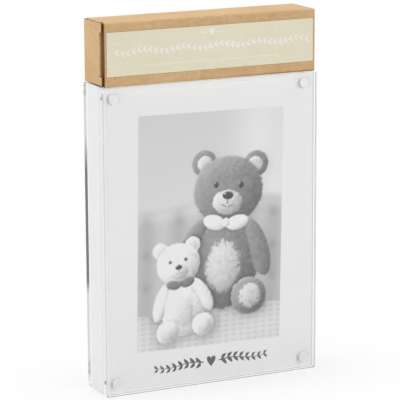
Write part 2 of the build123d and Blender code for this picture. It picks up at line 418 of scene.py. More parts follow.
def makeAcrylic():
    made, tree, body = newMaterial("clearAcrylic")
    marks = useGroup(tree, handlingMarks, **acrylic["marks"])
    slant = apart(tree, looking(tree, "Y"), acrylic["bevelFacing"])
    bevel = below(tree, slant, acrylic["bevelSwing"])  # the sawn and buffed slope round the outer face
    under = below(tree, axes(tree, "Normal")["Z"], acrylic["footFacing"])  # painted shade on the slope over the floor, the darkest
    slope = mixColours(tree, under, acrylic["bevel"], acrylic["footBevelShade"])
    rough = calc(tree, "MAXIMUM", marks["Rough"], times(tree, bevel, acrylic["bevelRough"]))
    plug(tree, body, Base_Color=mixColours(tree, bevel, acrylic["colour"], slope), Roughness=rough,
         IOR=acrylic["index"], Transmission_Weight=1.0)
    path = addNode(tree, "LightPath").outputs
    lampRays = calc(tree, "MAXIMUM", path["Is Shadow Ray"], path["Is Diffuse Ray"])
    straight = addNode(tree, "BsdfTransparent", {"Color": acrylic["lamplight"]}).outputs[0]
    clear = mixShaders(tree, lampRays, body.outputs[0], straight)
    # after many turns inside, rays take the painted glow
    late = times(tree, above(tree, path["Ray Depth"], acrylic["pipedAfter"]),
                 calc(tree, "SUBTRACT", 1.0, lampRays))
    ends = above(tree, looking(tree, "Z"), acrylic["endFacing"])
    glow = times(tree, ends, path["Is Diffuse Ray"], acrylic["endGlow"])  # painted glow on the end faces, standing in for light turned back onto the sheets
    showShader(tree, mixShaders(tree, calc(tree, "MAXIMUM", late, glow), clear, paintedPipedGlow(tree)))
    return made


paint(["front_pane", "rear_pane"], makeAcrylic())

# magnets
nickel = {
    "colour": tone(246, 245, 243), "shade": tone(234, 233, 230), "cloud": 420.0, "detail": 3.0,
    "side": tone(104, 103, 101), "sideFacing": (0.3, 0.6),  # darker round the side: painted shade in its pocket
    "metallic": 1.0, "marks": {"Scale": 160.0, "Low": 0.22, "High": 0.36}, "bump": (0.01 * mm, 0.3),
}


def nickelColour(tree, kind):
    # painted shade round the side
    side = spread(tree, looking(tree, "Y"), *kind["sideFacing"], 1.0, 0.0)
    return mixColours(tree, side, clouded(tree, kind), kind["side"])


magnets = [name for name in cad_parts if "magnet" in name]
paint(magnets, smoothFinish("nickelPlate", nickel, nickelColour))
print("frame finishes ready")

# papers
papers = {  # colour, flecks, roughness, how fine the grain is
    "card": (tone(247, 247, 247), tone(242, 242, 241), (0.56, 0.68), 900.0),
    "label": (tone(235, 228, 204), tone(228, 220, 194), (0.49, 0.61), 800.0),
    "motif": (tone(62, 62, 63), tone(74, 74, 75), (0.44, 0.56), 700.0),
    "whiteMotif": (tone(246, 244, 237), tone(240, 237, 227), (0.44, 0.56), 700.0),
}
paperCloud = 45.0
paperBump = (0.02 * mm, 0.5)


def makePaper(name):
    colour, fleck, rough, fine = papers[name]
    grain = {"Scale": fine, "Cloud": paperCloud}
    kind = {"colour": colour, "fleck": fleck, "rough": rough, "grain": grain, "bump": paperBump}
    return fibreFinish(name + "Paper", kind)


paint(["photo_card", "handprint_card"], makePaper("card"))
paint(["carton_label"], makePaper("label"))

# kraft board of the carton
kraft = {
    "colour": tone(210, 172, 122), "dark": tone(189, 150, 100), "light": tone(225, 191, 143),
    "raw": tone(150, 111, 68), "dim": tone(128, 84, 38), "deep": tone(76, 44, 12),  # cut edges, and painted shade in slots and gaps
    "grain": {"Scale": 620.0, "Cloud": 38.0}, "flecks": (0.36, 0.64), "evened": 0.35, "ribs": 0.16,
    "board": 1.6 * mm, "flute": 2.8 * mm, "wave": 0.34 * mm, "medium": 0.16 * mm, "liner": 0.3 * mm,
    "facing": 0.6,  # a face looks along an axis where its normal has more than this of it
    "rough": (0.58, 0.72), "grainShare": 0.4, "bump": (0.05 * mm, 0.6), "flutingShade": 0.8,
}
sleeve = {
    # painted shade on the lower folds, and a painted shadow round the label
    "shadedFoldFacing": (-0.5, -0.2), "flatFacing": 0.9, "shadedFoldAlong": (-20 * mm, 50 * mm),
    "shadedFoldShare": (0.1, 0.8), "labelShadowReach": (0.2 * mm, 0.6 * mm), "labelShadowShare": 0.35,
}
tuckFlap = {
    "slack": 0.05 * mm, "shoulder": 13.8 * mm,  # half the tongue's height, and the shoulders lie beyond
    # painted shade in the slot where the tongue turns in, fading further in
    "slotShade": (0.6 * mm, 3.4 * mm), "slotShadeShare": 0.85, "plainFrom": (3.6 * mm, 7.5 * mm), "plainShare": 0.1,
    # where the tongue begins, and a painted shadow along the lower edge over the frame
    "tongueFrom": -6 * mm, "baseShadowSpan": (0.35 * mm, 0.75 * mm), "baseShadowShare": 0.85,
    "baseShadowFrom": (-4 * mm, 12 * mm), "baseShadowRear": 0.1,
}


def fluteWave(tree, place):  # a sine across the flutes, which run along the carton's length
    level = above(tree, looking(tree, "Z"), kraft["facing"])
    across = weigh(tree, level, place["Y"], place["Z"])
    return calc(tree, "SINE", times(tree, across, 2 * math.pi / kraft["flute"]))


def sleeveCut(tree, place):
    # raw ends face sideways, painted darker than raw board as the shade in the slot; the lower folds get
    # painted shade, most towards the right; and a painted shadow lines the board round the label
    facing = axes(tree, "Normal")
    ends = above(tree, looking(tree, "X"), kraft["facing"])
    # painted shade on the folds that face down
    fold = times(tree, spread(tree, facing["Z"], *sleeve["shadedFoldFacing"], 1.0, 0.0),
                 below(tree, looking(tree, "Z"), sleeve["flatFacing"]))
    along = spread(tree, place["X"], *sleeve["shadedFoldAlong"], *sleeve["shadedFoldShare"])
    # painted shadow along the label's edge
    low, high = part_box("carton_label")
    beyond = []
    for axis, i in (("X", 0), ("Z", 2)):
        off = apart(tree, place[axis], (low[i] + high[i]) / 2)
        beyond.append(calc(tree, "SUBTRACT", off, (high[i] - low[i]) / 2))
    line = spread(tree, calc(tree, "MAXIMUM", *beyond), *sleeve["labelShadowReach"], sleeve["labelShadowShare"], 0.0)
    front = below(tree, facing["Y"], -kraft["facing"])
    return [(share, kraft["dim"]) for share in (ends, times(tree, fold, along), times(tree, line, front))]


def dustCut(tree, place):  # raw wherever the edge looks another way than outwards
    low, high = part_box("carton_sleeve")
    beyond = apart(tree, place["Z"], (low[2] + high[2]) / 2)
    clear = below(tree, beyond, (high[2] - low[2]) / 2 - kraft["board"])  # off the fold itself
    edge = below(tree, looking(tree, "X"), kraft["facing"])
    return [(times(tree, clear, edge), kraft["raw"])]


def tuckCut(tree, place):
    # the tongue gets painted shade where it turns in past the wall, upper and lower rims are raw, the
    # shoulders show the section of the board, a sine between two liners with the hollows painted dark as
    # shade, and a painted shadow lies along the lower edge over the frame
    faces = {axis: above(tree, looking(tree, axis), kraft["facing"]) for axis in "YZ"}
    low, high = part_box("left_tuck_flap")
    half = kraft["board"] / 2
    depth = calc(tree, "SUBTRACT", -low[0], calc(tree, "ABSOLUTE", place["X"]))  # in from the carton's end
    panel = below(tree, depth, kraft["board"] + tuckFlap["slack"])
    # painted shade in the slot, on the tongue where it turns in
    slotShade = times(tree, spread(tree, depth, *tuckFlap["slotShade"], 0.0, tuckFlap["slotShadeShare"]),
                   spread(tree, depth, *tuckFlap["plainFrom"], 1.0, tuckFlap["plainShare"]))
    tongue = times(tree, slotShade, below(tree, place["Y"], tuckFlap["tongueFrom"]))
    crest = calc(tree, "ADD", times(tree, fluteWave(tree, place), kraft["wave"]), half)
    medium = below(tree, apart(tree, depth, crest), kraft["medium"])
    liners = above(tree, apart(tree, depth, half), half - kraft["liner"])
    # painted shade: the hollows between the flutes dark, the paper edges dim
    section = mixColours(tree, calc(tree, "MAXIMUM", medium, liners), kraft["deep"], kraft["dim"])
    shoulder = above(tree, apart(tree, place["Z"], (low[2] + high[2]) / 2), tuckFlap["shoulder"])
    height = calc(tree, "SUBTRACT", place["Z"], low[2])
    # painted shadow along the lower edge, over the frame
    baseShadow = times(tree, spread(tree, height, *tuckFlap["baseShadowSpan"], tuckFlap["baseShadowShare"], 0.0),
                    spread(tree, place["Y"], *tuckFlap["baseShadowFrom"], 1.0, tuckFlap["baseShadowRear"]))
    return [(tongue, kraft["dim"]), (times(tree, panel, faces["Z"]), kraft["raw"]),
            (times(tree, panel, shoulder, faces["Y"]), section), (baseShadow, kraft["deep"])]


def makeKraft(name, cut=None, dimmed=0.0):
    # fibre flecks under faint ribs; cut gives the shares and colours of one kind of piece's raw places and
    # painted shade, laid on in turn
    made, tree, body = newMaterial(name)
    grain = useGroup(tree, fibreGrain, **kraft["grain"])
    place = axes(tree, "Object")
    ribs = spread(tree, fluteWave(tree, place), -1.0, 1.0)
    flecks = spread(tree, grain["Tone"], *kraft["flecks"])
    base = mixColours(tree, flecks, kraft["dark"], kraft["light"])
    ribbed = mixColours(tree, times(tree, ribs, kraft["ribs"]), base, kraft["dark"])
    colour = mixColours(tree, kraft["evened"], ribbed, kraft["colour"])
    if dimmed:
        colour = mixColours(tree, dimmed, colour, kraft["dim"])
    if cut:
        for share, laid in cut(tree, place):
            colour = mixColours(tree, share, colour, laid)
    plug(tree, body, Base_Color=colour, Roughness=spread(tree, grain["Height"], *napSpan, *kraft["rough"]),
         Normal=bumpFrom(tree, weigh(tree, kraft["grainShare"], grain["Height"], ribs), *kraft["bump"]))
    return made


paint(["carton_sleeve"], makeKraft("kraftBoard", sleeveCut))
paint(["left_tuck_flap", "right_tuck_flap"], makeKraft("kraftFlap", tuckCut))
# the fluting: a darker paper, darkened further as painted shade in its channels
paint(["front_fluting"], makeKraft("kraftMedium", dimmed=kraft["flutingShade"]))
paint([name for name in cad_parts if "dust_flap" in name], makeKraft("kraftDust", dustCut))
print("carton finishes ready")

# picture in the frame: two plush bears on a settee, in units of half the print's width
photoPrint = {
    "width": 101.6 * mm, "height": 152.4 * mm, "tilt": math.radians(1.0),
    "cols": 220, "rows": 330, "fine": 2,  # drawn finer by this and averaged
    "layer": "picture", "marks": {"Scale": 60.0, "Low": 0.30, "High": 0.42}, "bump": (0.01 * mm, 0.3),
}
# strengths come first, then places, pitches and widths; the two upper edges sag by a sine
room = {
    "wall": 0.58, "window": (0.10, 0.35, 0.12), "curtain": (0.05, 0.62, 0.22), "fade": (0.04, 0.9),
    "settee": 0.46, "top": (0.34, 0.06, 2.2, 0.6), "topEdge": 0.012, "blur": 0.026, "away": 0.62,
    "folds": (0.05, -1.1, 0.44), "buttons": (0.10, -0.05, 0.42, 0.05), "roll": (0.10, -0.08, 0.07),
    "throw": 0.66, "hem": (-1.02, 0.04, 3.1), "hemEdge": 0.01, "near": (0.25, 0.9), "lean": 0.25,
    "knit": (0.13, 30, 0.55), "bend": (1.1, 15), "shade": (0.10, -0.25, 0.3), "mottle": (0.05, 3, 4, 17),
}
bears = [
    {"at": (0.22, 0.20, 0.10), "size": 1.0, "turn": -4, "seed": 100,
     "fur": 0.27, "pale": 0.62, "bow": 0.85, "button": 0.05},
    {"at": (-0.42, -0.58, -0.75), "size": 0.62, "turn": 7, "seed": 200,
     "fur": 0.84, "pale": 0.70, "bow": 0.22, "button": 0.05},
]
# x, y, depth, three radii, tilt, tone, how plush; what is off the middle has a twin on its left
bearParts = [
    (0.00, -0.62, 0.00, 0.50, 0.62, 0.46, 0, "fur", 1), (0.00, -0.66, -0.20, 0.32, 0.42, 0.30, 0, "pale", 1),
    (0.36, 0.62, 0.10, 0.17, 0.17, 0.10, 0, "fur", 1), (0.35, 0.61, 0.02, 0.105, 0.105, 0.06, 0, "pale", 1),
    (0.00, 0.28, -0.10, 0.48, 0.44, 0.42, 0, "fur", 1), (0.00, 0.14, -0.42, 0.21, 0.17, 0.20, 0, "pale", 1),
    (0.00, 0.215, -0.60, 0.075, 0.052, 0.05, 0, "button", 0),
    (0.00, 0.135, -0.60, 0.009, 0.045, 0.03, 0, "button", 0),
    (0.045, 0.085, -0.58, 0.052, 0.009, 0.03, 24, "button", 0),
    (0.17, 0.35, -0.47, 0.040, 0.043, 0.04, 0, "button", 0),
    (0.46, -0.45, -0.16, 0.16, 0.40, 0.17, 24, "fur", 1),
    (0.40, -1.08, -0.42, 0.25, 0.24, 0.36, -8, "fur", 1),
    (0.41, -1.08, -0.66, 0.165, 0.165, 0.13, 0, "pale", 1),
    (0.16, -0.13, -0.40, 0.16, 0.095, 0.08, 14, "bow", 0.1),
    (0.00, -0.13, -0.47, 0.05, 0.06, 0.05, 0, "bow", 0.1),
]
bearParts = [(side * x, *middle, side * tilt, kind, fuzz) for x, *middle, tilt, kind, fuzz in bearParts
             for side in ((-1, 1) if x else (1,))]
hair = {
    "curl": 0.5, "curlRate": 3, "long": (90, 22), "short": (190, 34), "longShare": 0.6, "tuft": 30,
    "ragged": (0.10, 0.03), "raggedSize": (0.4, 0.2), "lift": 0.03, "ruffle": 0.7, "streak": (0.30, 0.22),
    "shinyFrom": 0.03, "quarter": 1.57,  # hairs lie a quarter turn from the ray
}
film = {
    "lamp": (-0.62, 0.56, -0.55), "ambient": 0.42, "direct": 0.80, "wrap": (0.62, 0.36),
    "halo": (0.20, 0.4), "creases": ((0.015, 1.2), (0.05, 0.9), (0.14, 0.4)), "creaseDark": 2.2,
    "creaseMost": (0.16, 0.07), "castShift": 0.07, "castSoft": 0.05, "cast": 0.16,
    "sparkFrom": (-0.42, 0.50, -0.76), "sparkTight": 60, "spark": 0.8, "lens": 0.0032,
    "exposure": 2.1, "most": 1.2, "paperWhite": 1.05, "gamma": 0.72, "middle": 0.77, "contrast": 1.22,
    "grain": 0.010, "grainSeed": 9, "darkest": 0.02, "palest": 0.97,
}


def drawBackdrop(x, y, unit):
    # a wall with a pale window and curtain, and a buttoned settee, both out of focus
    amount, at, soft = room["window"]
    wall = room["wall"] + amount * softStep((x - at) / soft)
    amount, at, soft = room["curtain"]
    wall = wall + amount * softHill((x - at) / soft)
    amount, at = room["fade"]
    wall = wall - amount * (y - at)
    height, sag, rate, start = room["top"]
    top = height + sag * np.sin(x * rate + start)
    amount, at, pitch = room["folds"]
    fold = (x - at) / pitch
    settee = room["settee"] + amount * np.cos(2 * np.pi * fold)
    amount, at, rowPitch, soft = room["buttons"]
    row = (y - at) / rowPitch
    dimples = softHill((fold % 1 - 0.5) * pitch / soft) * softHill((row % 1 - 0.5) * rowPitch / soft)
    settee = settee - amount * dimples
    amount, at, soft = room["roll"]
    settee = settee + amount * softHill((y - top - at) / soft)
    low = softStep((top - y) / room["topEdge"])
    back = softened(wall * (1 - low) + settee * low, room["blur"] * unit)

    # a knitted throw in front, darker towards its hem
    height, sag, rate = room["hem"]
    hem = height + sag * np.sin(x * rate)
    amount, rate, mean = room["knit"]
    bend, rows = room["bend"]
    stitch = np.abs(np.sin(x * rate + bend * np.abs((y * rows) % 1 - 0.5) * 2))
    throw = room["throw"] - amount * stitch * (mean + (1 - mean) * np.cos(y * rate * np.pi))
    amount, at, soft = room["shade"]
    throw = throw - amount * np.clip((y - hem - at) / soft, 0, 1)
    amount, across, upward, seed = room["mottle"]
    throw = throw + amount * latticeNoise(x * across, y * upward, seed)
    near = softStep((hem - y) / room["hemEdge"])
    start, rise = room["near"]
    depth = np.where(near > 0.5, start - (hem - y) * rise, room["away"])
    return back * (1 - near) + throw * near, depth, near


def drawBearPart(x, y, bear, number, part):
    # the near face of an ellipsoid is its middle less its depth radius times the root of what the two
    # other radii leave; hair noise along its rays roughens its outline, its slope and its tone, and
    # the numbers added to places and seeds keep one part's noise apart from the next
    px, py, pd, rx, ry, rd, tilt, kind, fuzz = part
    atX, atY, atDepth = bear["at"]
    size, seed = bear["size"], bear["seed"]
    turn = math.radians(bear["turn"])
    lean = math.radians(tilt) + turn
    offX, offY = turned(px, py, turn)
    u, v = turned(x - atX - size * offX, y - atY - size * offY, -lean)
    u, v = u / (size * rx), v / (size * ry)
    away = np.hypot(u, v)
    spin = np.arctan2(v, u)
    big = max(rx, ry)
    rate = hair["curlRate"]
    curl = spin + hair["curl"] * (latticeNoise(u * rate + number, v * rate, seed + 80) - 0.5)
    around, outward = hair["long"]
    strands = latticeNoise(curl * around * big + 40, away * outward * big + number * 7, seed + number)
    around, outward = hair["short"]
    short = latticeNoise(curl * around * big + 90, away * outward * big + number * 5, seed + 30 + number)
    strands = hair["longShare"] * strands + (1 - hair["longShare"]) * short - 0.5
    rate = hair["tuft"]
    tuft = latticeNoise(u * rx * rate + 11 * number, v * ry * rate, seed + 50 + number) - 0.5
    ragged = hair["ragged"][0] * strands + hair["ragged"][1] * tuft
    edge = 1 + fuzz * ragged * (hair["raggedSize"][0] / max(big, hair["raggedSize"][1])) ** 0.5
    rise = np.sqrt(np.clip(edge**2 - away**2, 1e-6, None))
    reach = atDepth + size * (pd - rd * rise + fuzz * hair["lift"] * tuft)
    slope = np.stack((u / rx, v / ry, -rise / rd))
    slope = slope / np.linalg.norm(slope, axis=0)
    ruffle = turned(fuzz * hair["ruffle"] * strands, 0.0, spin + lean + hair["quarter"])
    slope[:2] = np.add(turned(slope[0], slope[1], lean), ruffle)
    streaks = hair["streak"][0] * strands + hair["streak"][1] * tuft
    shiny = float(fuzz == 0 and ry > hair["shinyFrom"])
    return away < edge, (reach, slope, bear[kind] * (1 + fuzz * streaks), shiny, 1.0)


def drawPicture(cols, rows):
    # the nearest face wins, and its slope takes the light from the upper left
    fine = photoPrint["fine"]
    width, height = cols * fine, rows * fine
    unit = width / 2
    x, y = np.meshgrid((np.arange(width) + 0.5) / width * 2 - 1, 1.5 - (np.arange(height) + 0.5) / height * 3)
    colour, depth, near = drawBackdrop(x, y, unit)
    normal = np.stack((np.zeros_like(x), room["lean"] * near, -np.ones_like(x)))
    seen = [depth, normal, colour, np.zeros_like(x), np.zeros_like(x)]  # the last two: shiny and plush
    for bear in bears:
        for number, part in enumerate(bearParts):
            inside, drawn = drawBearPart(x, y, bear, number, part)
            hit = inside & (drawn[0] < seen[0])
            seen = [np.where(hit, new, old) for new, old in zip(drawn, seen)]
    return developed(lit(near, unit, *seen), cols, rows)


def lit(near, unit, depth, normal, colour, shiny, plush):
    # lamplight by the slope, a pale halo round the fur, dark creases where the depth falls behind its
    # own blur, a soft cast shadow, and a spark on what shines
    lamp = np.array(film["lamp"]) / np.linalg.norm(film["lamp"])
    normal = normal / np.linalg.norm(normal, axis=0)
    scale, start = film["wrap"]
    wrapped = np.clip(np.tensordot(lamp, normal, 1) * scale + start, 0, 1)
    shade = np.where(plush > 0, film["ambient"] + film["direct"] * wrapped, 1.0)
    amount, base = film["halo"]
    halo = plush * amount * np.clip(1 + normal[2], 0, 1) ** 2
    halo = halo * (base + (1 - base) * np.clip(normal[1] - normal[0], 0, 1))
    most = film["creaseMost"][0] * plush + film["creaseMost"][1] * near * (1 - plush)
    crease = sum(amount * np.clip(depth - softened(depth, reach * unit), 0, most)
                 for reach, amount in film["creases"])
    step = int(film["castShift"] * unit)
    cast = softened(np.roll(plush, (step // 2, step), (0, 1)), film["castSoft"] * unit) * (1 - plush)
    spark = np.clip(np.tensordot(np.array(film["sparkFrom"]), normal, 1), 0, 1) ** film["sparkTight"]
    light = colour * shade * np.exp(-film["creaseDark"] * crease) * (1 - film["cast"] * cast)
    return softened(light + halo + film["spark"] * shiny * spark, film["lens"] * unit)


def developed(light, cols, rows):  # a pale print: film that fills up, then contrast about a light middle
    fine = photoPrint["fine"]
    exposure = film["exposure"]
    filled = 1 - np.exp(-exposure * np.clip(light, 0, film["most"]))
    filled = filled / (1 - math.exp(-exposure * film["paperWhite"]))
    image = (filled ** film["gamma"]).reshape(rows, fine, cols, fine).mean((1, 3))
    image = film["middle"] + film["contrast"] * (image - film["middle"])
    grain = np.random.default_rng(film["grainSeed"]).uniform(-1, 1, image.shape)
    return np.clip(image + film["grain"] * grain, film["darkest"], film["palest"])


def printColour(tree, kind):
    layer = addNode(tree, "Attribute", attribute_name=kind["layer"], attribute_type="GEOMETRY")
    return layer.outputs["Color"]


def makePhotoPrint():
    # a flat grid that carries the picture, turned a little, with four rims and a plain back
    low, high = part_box("photo_print")
    cols, rows = photoPrint["cols"], photoPrint["rows"]
    middle = (np.array(low) + np.array(high)) / 2
    a, b = np.meshgrid(np.linspace(-0.5, 0.5, cols) * photoPrint["width"],
                       np.linspace(0.5, -0.5, rows) * photoPrint["height"])
    across, upward = turned(a, b, -photoPrint["tilt"])  # clockwise as seen from the front
    front = np.stack((middle[0] + across, np.full_like(a, low[1]), middle[2] + upward), -1).reshape(-1, 3)
    count = rows * cols
    back = front[[0, cols - 1, count - 1, count - cols]]
    back[:, 1] = high[1]
    loop = rimLoop(rows, cols)
    closed = np.append(loop, loop[0]).tolist()
    turns = (0, cols - 1, cols + rows - 2, 2 * cols + rows - 3, len(loop))  # the rim's corners
    rims = [[count + (i + 1) % 4] + closed[turns[i]: turns[i + 1] + 1][::-1] + [count + i] for i in range(4)]
    faces = gridQuads(rows, cols, flip=True).tolist() + rims + [list(range(count, count + 4))]
    mesh = bpy.data.meshes.new("photoPrint")
    mesh.from_pydata(np.concatenate((front, back)).tolist(), [], faces)
    colours = np.ones((count + len(back), 4), np.float32)
    colours[:count, :3] = linearLight(drawPicture(cols, rows)).reshape(-1, 1)
    layer = mesh.color_attributes.new(photoPrint["layer"], "FLOAT_COLOR", "POINT")
    layer.data.foreach_set("color", colours.ravel())
    finish = smoothFinish("photoPaper", photoPrint, printColour)
    piece = placePiece(mesh, finish, "photo_print")
    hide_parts("photo_print")


makePhotoPrint()
print("picture ready")

# printed ornaments: a heart between leafy sprigs on the card, a fine white vine on the label
inkThick = 0.02 * mm
leafThick = 0.024 * mm  # leaves lie over their stem
inkSteps = {"heart": (41, 9), "leaf": (13, 5), "dot": 7, "sprig": 40, "vine": 80, "rule": 12}


def standOn(face, outlines):  # thin closed plates standing forward of a face, from x, z and thickness
    return slabs([[np.stack((x, np.full_like(x, y), z), -1) for y in (face - thick, face)]
                  for x, z, thick in outlines])


def heart(midX, midZ, half):
    # a circle's upper and lower arcs, both raised by the two-thirds power of the distance from the
    # middle, a little less tall than wide, and set down to sit about its middle
    squash, setDown = 0.92, 0.28
    cols, rows = inkSteps["heart"]
    sweep = np.linspace(-0.5, 0.5, cols) * math.pi
    u, v = np.meshgrid(np.sin(sweep), np.linspace(0, 1, rows), indexing="ij")
    arc = np.sqrt(np.clip(1 - u**2, 0, None))
    lift = np.abs(u) ** (2 / 3)
    return midX + half * u, midZ + half * squash * (lift - setDown + arc * (2 * v - 1)), inkThick


def leaf(root, angle, length, breadth):
    # half breadth follows a sine along the length, fullest a little before the middle, and the whole
    # bows to one side by a tenth of its length
    fullness, bow = 0.8, 0.10
    cols, rows = inkSteps["leaf"]
    u, v = np.meshgrid(np.linspace(0, 1, cols), np.linspace(-1, 1, rows), indexing="ij")
    along = length * u
    across = breadth / 2 * np.sin(math.pi * u**fullness) * v + bow * length * np.sin(math.pi * u)
    x, z = turned(along, across, angle)
    return root[0] + x, root[1] + z, leafThick


def stem(x, z, breadth):
    # a line through given points, its breadth tapering to the tip
    taper = 0.6
    half = (breadth / 2 * (1 - taper * np.linspace(0, 1, len(x))))[:, None]
    rise = np.gradient(z, x)
    across = np.stack((-rise, np.ones_like(rise)), -1) / np.hypot(rise, 1)[:, None]
    sides = half * np.array((-1.0, 0.0, 1.0))
    return x[:, None] + across[:, :1] * sides, z[:, None] + across[:, 1:] * sides, inkThick


def dot(midX, midZ, radius):  # a disc mapped from a square grid
    side = np.linspace(-1, 1, inkSteps["dot"])
    u, v = np.meshgrid(side, side, indexing="ij")
    return midX + radius * u * np.sqrt(1 - v**2 / 2), midZ + radius * v * np.sqrt(1 - u**2 / 2), inkThick


cardMotif = {
    "middle": (0.0, 13.4 * mm), "heart": 3.1 * mm, "reach": (5.4 * mm, 39.0 * mm), "wave": 0.9 * mm,
    "leaves": 8, "leafSpan": (0.06, 0.97), "leaf": (5.4 * mm, 2.3 * mm), "leafAngle": math.radians(46),
    "leafShrink": 0.35, "stem": 0.75 * mm,
}


def makeCardMotif():
    # each sprig's stem is one turn of a sine, with leaves in pairs that shrink towards its tip
    midX, midZ = cardMotif["middle"]
    near, far = cardMotif["reach"]
    length, breadth = cardMotif["leaf"]
    outlines = [heart(midX, midZ, cardMotif["heart"])]
    for side in (-1, 1):
        s = np.linspace(near, far, inkSteps["sprig"])
        wave = cardMotif["wave"] * np.sin((s - near) / (far - near) * 2 * math.pi)
        outlines.append(stem(midX + side * s, midZ + wave, cardMotif["stem"] * side))
        for at in np.linspace(*cardMotif["leafSpan"], cardMotif["leaves"]):
            rootX = midX + side * (near + at * (far - near))
            root = (rootX, midZ + cardMotif["wave"] * math.sin(at * 2 * math.pi))
            size = 1.0 - cardMotif["leafShrink"] * at
            for way in (-1, 1):
                outward = cardMotif["leafAngle"] * way
                angle = outward if side > 0 else math.pi - outward
                outlines.append(leaf(root, angle, length * size, breadth * size * side))
    points, faces = standOn(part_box("photo_card")[0][1], outlines)
    addPiece("cardMotif", points, faces, makePaper("motif"), "photo_card")


labelMotif = {
    "vine": (219.2 * mm, 66.0 * mm), "wave": 1.0 * mm, "waves": 5, "stem": 0.5 * mm,  # height, half width
    "leaves": 36, "leaf": (3.4 * mm, 1.25 * mm), "leafAngle": math.radians(40),
    "dots": (210.4 * mm, 46.0 * mm, 58, 0.42 * mm),  # height, half width, how many, radius
    "heart": (228.0 * mm, 1.9 * mm), "rule": (3.4 * mm, 8.5 * mm), "ruleBreadth": 0.8 * mm,
}


def makeLabelMotif():
    # the vine is a sine with leaves in pairs, drawn from the middle to both ends; a row of dots runs
    # under it, and a small heart between two rules stands over it
    vine, half = labelMotif["vine"]
    wave = labelMotif["wave"]
    rate = labelMotif["waves"] * math.pi / half
    middle = inkSteps["vine"]
    s = np.linspace(-half, half, 2 * middle + 1)
    outlines = [stem(part, vine + wave * np.sin(part * rate), labelMotif["stem"])
                for part in (s[middle:], s[middle::-1])]
    for at in np.linspace(-half, half, labelMotif["leaves"]):
        root = (at, vine + wave * math.sin(at * rate))
        slope = math.atan(rate * wave * math.cos(at * rate))
        for way in (-1, 1):
            outlines.append(leaf(root, slope + labelMotif["leafAngle"] * way, *labelMotif["leaf"]))
    height, reach, count, radius = labelMotif["dots"]
    outlines += [dot(at, height, radius) for at in np.linspace(-reach, reach, count)]
    height, size = labelMotif["heart"]
    outlines.append(heart(0.0, height, size))
    for side in (-1, 1):
        x = side * np.linspace(*labelMotif["rule"], inkSteps["rule"])
        outlines.append(stem(x, np.full_like(x, height), labelMotif["ruleBreadth"]))
    points, faces = standOn(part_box("carton_label")[0][1], outlines)
    addPiece("labelMotif", points, faces, makePaper("whiteMotif"), "carton")


makeCardMotif()
makeLabelMotif()
print("ornaments ready")

# creases of the carton: the outer liner runs on over every fold
foldLiner = {
    "radius": 0.8 * mm, "run": 2.6 * mm, "tail": 1.6 * mm, "lift": 0.03 * mm, "thick": 0.14 * mm,
    "steps": (6, 13, 5, 9), "settled": 0.3 * mm,  # steps of run, turn and tail, and along the fold
}
kraftLiner = makeKraft("kraftLiner")


def makeFoldLiner(name, flap, along, wallWay, flapWay):
    # a straight run on the wall, a quarter turn about the fold, a straight tail on the flap;
    # its two ends sink under the board's face, so only the bend stands a hair proud
    low, high = (np.array(corner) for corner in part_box(flap))
    along, wallWay, flapWay = (np.array(way, float) for way in (along, wallWay, flapWay))
    outWall, outFlap = -flapWay, -wallWay
    radius, lift = foldLiner["radius"], foldLiner["lift"]
    corner = outWall + outFlap
    axis = np.where(corner > 0, high - radius, low + radius) * np.abs(corner)
    runSteps, turnSteps, tailSteps, alongSteps = foldLiner["steps"]
    run = np.linspace(foldLiner["run"], 0, runSteps)[:-1]
    angle = np.linspace(0, math.pi / 2, turnSteps)
    tail = np.linspace(0, foldLiner["tail"], tailSteps)[1:]
    centre = np.concatenate((wallWay * run[:, None], np.zeros((len(angle), 3)), flapWay * tail[:, None]))
    bend = outWall * np.cos(angle)[:, None] + outFlap * np.sin(angle)[:, None]
    out = np.concatenate((np.tile(outWall, (len(run), 1)), bend, np.tile(outFlap, (len(tail), 1))))
    sink = np.concatenate((np.linspace(1, 0, len(run)), np.zeros(len(angle)), np.linspace(0, 1, len(tail))))
    reach = radius + lift - sink**2 * 2 * lift
    outer = axis + centre + out * reach[:, None]
    inner = axis + centre + out * (reach - foldLiner["thick"])[:, None]
    shift = along * np.linspace(low @ along, high @ along, alongSteps)[None, :, None]
    points, faces = slab(outer[:, None] + shift, inner[:, None] + shift)
    piece = addPiece(name, points, faces, kraftLiner, None, smooth=True)
    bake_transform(piece)


for side, inward in (("left", (1, 0, 0)), ("right", (-1, 0, 0))):
    makeFoldLiner(f"foldLiner_{side}_roof", f"{side}_roof_dust_flap", (0, 1, 0), inward, (0, 0, -1))
    makeFoldLiner(f"foldLiner_{side}_floor", f"{side}_floor_dust_flap", (0, 1, 0), inward, (0, 0, 1))
    makeFoldLiner(f"foldLiner_{side}_tuck", f"{side}_tuck_flap", (0, 0, 1), inward, (0, -1, 0))
print("creases ready")

# ink pad
inkCase = {
    "colour": tone(236, 234, 230), "shade": tone(228, 226, 222), "cloud": 60.0,
    "marks": {"Scale": 90.0, "Low": 0.34, "High": 0.48}, "bump": (0.03 * mm, 0.4),
}
paint(["ink_tray", "ink_lid"], smoothFinish("inkCasePlastic", inkCase))

feltPad = {
    "crown": 0.7 * mm, "crownShare": (0.25, 0.75), "round": 1.2 * mm, "low": 0.05 * mm,
    "cols": 96, "rows": 28, "nap": 0.06 * mm, "napRate": 900, "napSeed": 5,
}
felt = {
    "colour": tone(52, 52, 56), "fleck": tone(80, 80, 84), "grain": {"Scale": 1100.0, "Cloud": 160.0},
    "rough": (0.7, 0.95), "bump": (0.2 * mm, 0.8),
}


